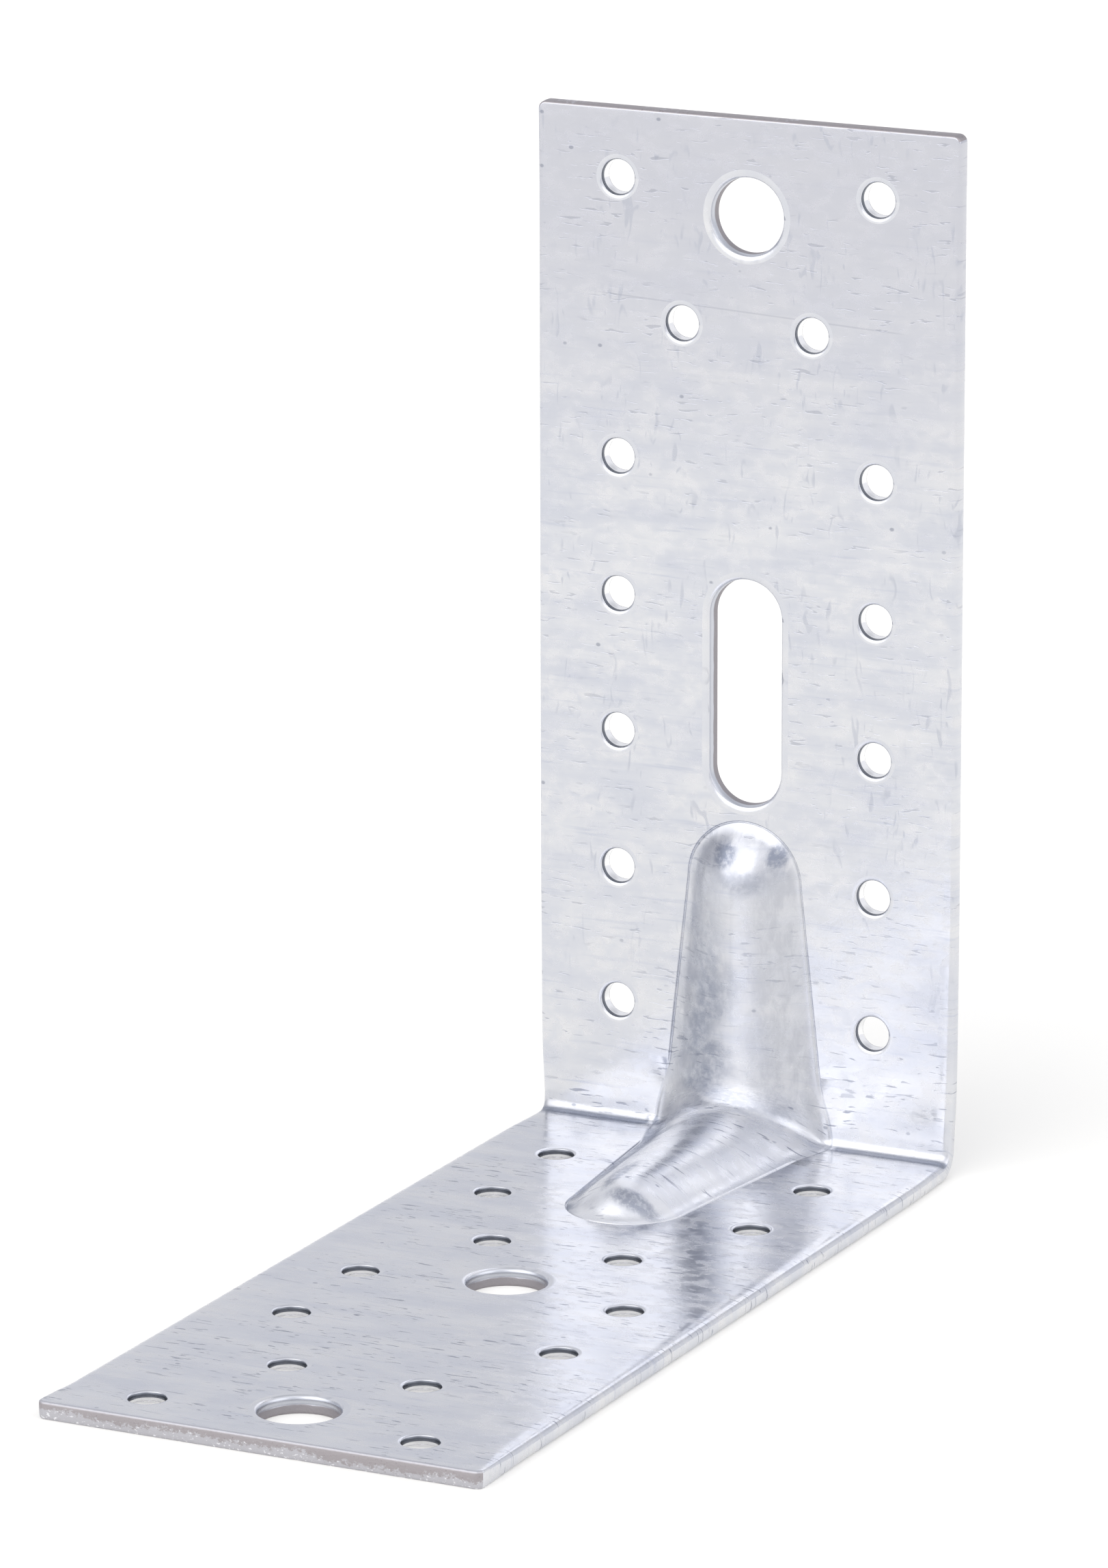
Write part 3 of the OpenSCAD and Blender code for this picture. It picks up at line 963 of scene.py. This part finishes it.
# Sheared end edges: torn steel that the shear smeared with bright zinc from the lower face
shearSpec = {
    "torn": "#A7A2A5",
    "smear": "#C3C3C9",
    "burr": "#E6E6EA",
    "fleck": "#7C7779",
    "smearAt": (1.05, 1.6),     # mm below the front face
    "smearWander": {"size": (0.7, 0.6), "shift": 2.6, "detail": 5.0, "rough": 0.75, "distort": 0.3,
                    "cut": (0.34, 0.66, -0.5, 0.5)},
    "smearSway": {"size": (14.0, 30.0), "shift": 6.6, "detail": 1.0, "cut": (0.35, 0.65, -0.35, 0.35)},
    "smearShare": 0.85,
    "rimTo": (0.12, 0.42, 1.0, 0.0),    # the zinc that the shear pulled over the front rim
    "grain": {"size": (0.4, 0.3), "shift": 9.2, "detail": 3.0, "rough": 0.7},
    "grainRise": 0.05,
    "fleckAt": (0.6, 0.72, 0.0, 0.5),
    "burrs": {"size": (0.5, 0.35), "shift": 4.7, "detail": 2.0, "cut": (0.6, 0.68)},
    "roughness": 0.45,
}


def shearedSteel():
    material, tree = newMaterial("shearedSteelEnd")
    spec = shearSpec
    wall, _, depth = mapAxes(tree)
    moved = depth
    for name in ("smearWander", "smearSway"):
        moved = addNode(tree, "ShaderNodeMath", {"operation": "ADD"},
                        {0: moved, 1: pattern(tree, wall, spec[name])}).outputs[0]
    smear = within(tree, (moved, *spec["smearAt"]))
    grain = pattern(tree, wall, spec["grain"])
    colour = layOver(tree, spec["torn"], spec["fleck"], (grain, *spec["fleckAt"]))
    colour = layOver(tree, colour, spec["smear"], (smear, 0.0, 1.0, 0.0, spec["smearShare"]))
    colour = layOver(tree, colour, spec["burr"], pattern(tree, wall, spec["burrs"]), smear)
    colour = layOver(tree, colour, spec["smear"], (depth, *spec["rimTo"]))
    shader = addNode(tree, "ShaderNodeBsdfPrincipled", {"Metallic": 1.0, "Roughness": spec["roughness"]},
                     {"Base Color": colour, "Normal": relief(tree, (grain, spec["grainRise"]))})
    addNode(tree, "ShaderNodeOutputMaterial", links={"Surface": shader.outputs["BSDF"]})
    return material


for material in (galvanisedSteel(), punchedSteel(nailSpec), punchedSteel(boltSpec), shearedSteel()):
    bracket.data.materials.append(material)

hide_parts("bracket")
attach(bracket, "root")
print("materials: done")


# Studio: a pale floor in an even white room with one broad soft light in front of the
# bracket's left side. A darker side of the room gives the bare metal its contrast.
stageSpec = {
    "floorSize": 8.0,           # metres
    "floorColour": "#FFFEFA",
    "floorGlow": 0.2,           # share of the floor's white that no shadow takes away
    "roomLevel": 0.92,
    "roomColour": "#F8F9FE",
}

# heading: degrees round to the left of straight in front, height: degrees above the floor,
# inner and outer: where the patch is full and where it has faded out
roomPatches = [
    {"heading": 24, "height": 36, "inner": 23, "outer": 44, "level": 1.0, "colour": "#FFFDF9"},
    {"heading": 200, "height": 60, "inner": 14, "outer": 40, "level": -0.28, "colour": "#FFFFFF"},
    {"heading": 158, "height": 14, "inner": 18, "outer": 40, "level": -0.06, "colour": "#FFFFFF"},
    {"heading": 87, "height": 20, "inner": 14, "outer": 30, "level": -0.24, "colour": "#FFFFFF"},
    {"heading": -86, "height": 26, "inner": 16, "outer": 32, "level": 0.6, "colour": "#FFFDF9"},
    {"heading": -104, "height": 56, "inner": 18, "outer": 46, "level": 0.32, "colour": "#FFFFFF"},
    {"heading": -14, "height": 33, "inner": 14, "outer": 30, "level": 0.4, "colour": "#FFFBF4"},
]


def buildFloor():
    half = stageSpec["floorSize"] / 2
    mesh = bpy.data.meshes.new("floor")
    corners = [(-half, -half, 0), (half, -half, 0), (half, half, 0), (-half, half, 0)]
    mesh.from_pydata(corners, [], [(0, 1, 2, 3)])
    floor = bpy.data.objects.new("floor", mesh)
    bpy.context.scene.collection.objects.link(floor)
    material, tree = newMaterial("paperSweep")
    paper = addNode(tree, "ShaderNodeBsdfDiffuse", {"Color": linearColour(stageSpec["floorColour"])})
    glow = addNode(tree, "ShaderNodeEmission", {"Strength": 1.0})
    path = addNode(tree, "ShaderNodeLightPath")
    seen = addNode(tree, "ShaderNodeMath", {"operation": "MAXIMUM"},
                   {0: path.outputs["Is Camera Ray"], 1: path.outputs["Is Glossy Ray"]})
    seen = addNode(tree, "ShaderNodeMath", {"operation": "MAXIMUM"},
                   {0: seen.outputs[0], 1: path.outputs["Is Transmission Ray"]})
    share = addNode(tree, "ShaderNodeMath", {"operation": "MULTIPLY", 1: stageSpec["floorGlow"]},
                    {0: seen.outputs[0]})
    mixed = addNode(tree, "ShaderNodeMixShader",
                    links={0: share.outputs[0], 1: paper.outputs[0], 2: glow.outputs[0]})
    addNode(tree, "ShaderNodeOutputMaterial", links={"Surface": mixed.outputs[0]})
    mesh.materials.append(material)


def buildWorld():
    world = bpy.data.worlds.new("studio")
    bpy.context.scene.world = world
    world.use_nodes = True
    tree = world.node_tree
    tree.nodes.clear()
    where = addNode(tree, "ShaderNodeTexCoord").outputs["Generated"]
    light = addNode(tree, "ShaderNodeCombineXYZ")
    for i, part in enumerate(linearColour(stageSpec["roomColour"])[:3]):
        light.inputs[i].default_value = part * stageSpec["roomLevel"]
    for patch in roomPatches:
        h, e = math.radians(patch["heading"]), math.radians(patch["height"])
        aim = (-math.sin(h) * math.cos(e), -math.cos(h) * math.cos(e), math.sin(e))
        facing = addNode(tree, "ShaderNodeVectorMath", {"operation": "DOT_PRODUCT", 1: aim}, {0: where})
        fade = within(tree, (facing.outputs["Value"], math.cos(math.radians(patch["outer"])),
                             math.cos(math.radians(patch["inner"]))))
        glow = tuple(part * patch["level"] for part in linearColour(patch["colour"])[:3])
        light = addNode(tree, "ShaderNodeVectorMath", {"operation": "MULTIPLY_ADD", 1: glow},
                        {0: fade, 2: light.outputs[0]})
    shine = addNode(tree, "ShaderNodeBackground", {"Strength": 1.0}, {"Color": light.outputs[0]})
    addNode(tree, "ShaderNodeOutputWorld", links={"Surface": shine.outputs[0]})


cameraSpec = {
    "azimuth": 26.384,          # degrees round from the front
    "elevation": 14.698,
    "roll": -0.121,
    "distance": 1178.71,        # mm from the target
    "target": (5.07, 1.55, 71.7),
    "lens": 202.11,             # on a 36 mm long side
}


def buildCamera():
    spec = cameraSpec
    a, e = math.radians(spec["azimuth"]), math.radians(spec["elevation"])
    back = Vector((math.sin(a) * math.cos(e), -math.cos(a) * math.cos(e), math.sin(e)))
    data = bpy.data.cameras.new("photoCamera")
    data.lens, data.sensor_width = spec["lens"], 36.0
    data.clip_start, data.clip_end = 0.05, 40.0
    camera = bpy.data.objects.new("photoCamera", data)
    camera.location = (Vector(spec["target"]) + back * spec["distance"]) * mm
    camera.rotation_mode = "QUATERNION"
    turn = (-back).to_track_quat("-Z", "Y")
    camera.rotation_quaternion = turn @ Quaternion((0, 0, 1), math.radians(spec["roll"]))
    bpy.context.scene.collection.objects.link(camera)
    bpy.context.scene.camera = camera


buildFloor()
buildWorld()
buildCamera()
bpy.context.scene.view_settings.view_transform = "Standard"
print("studio: done")
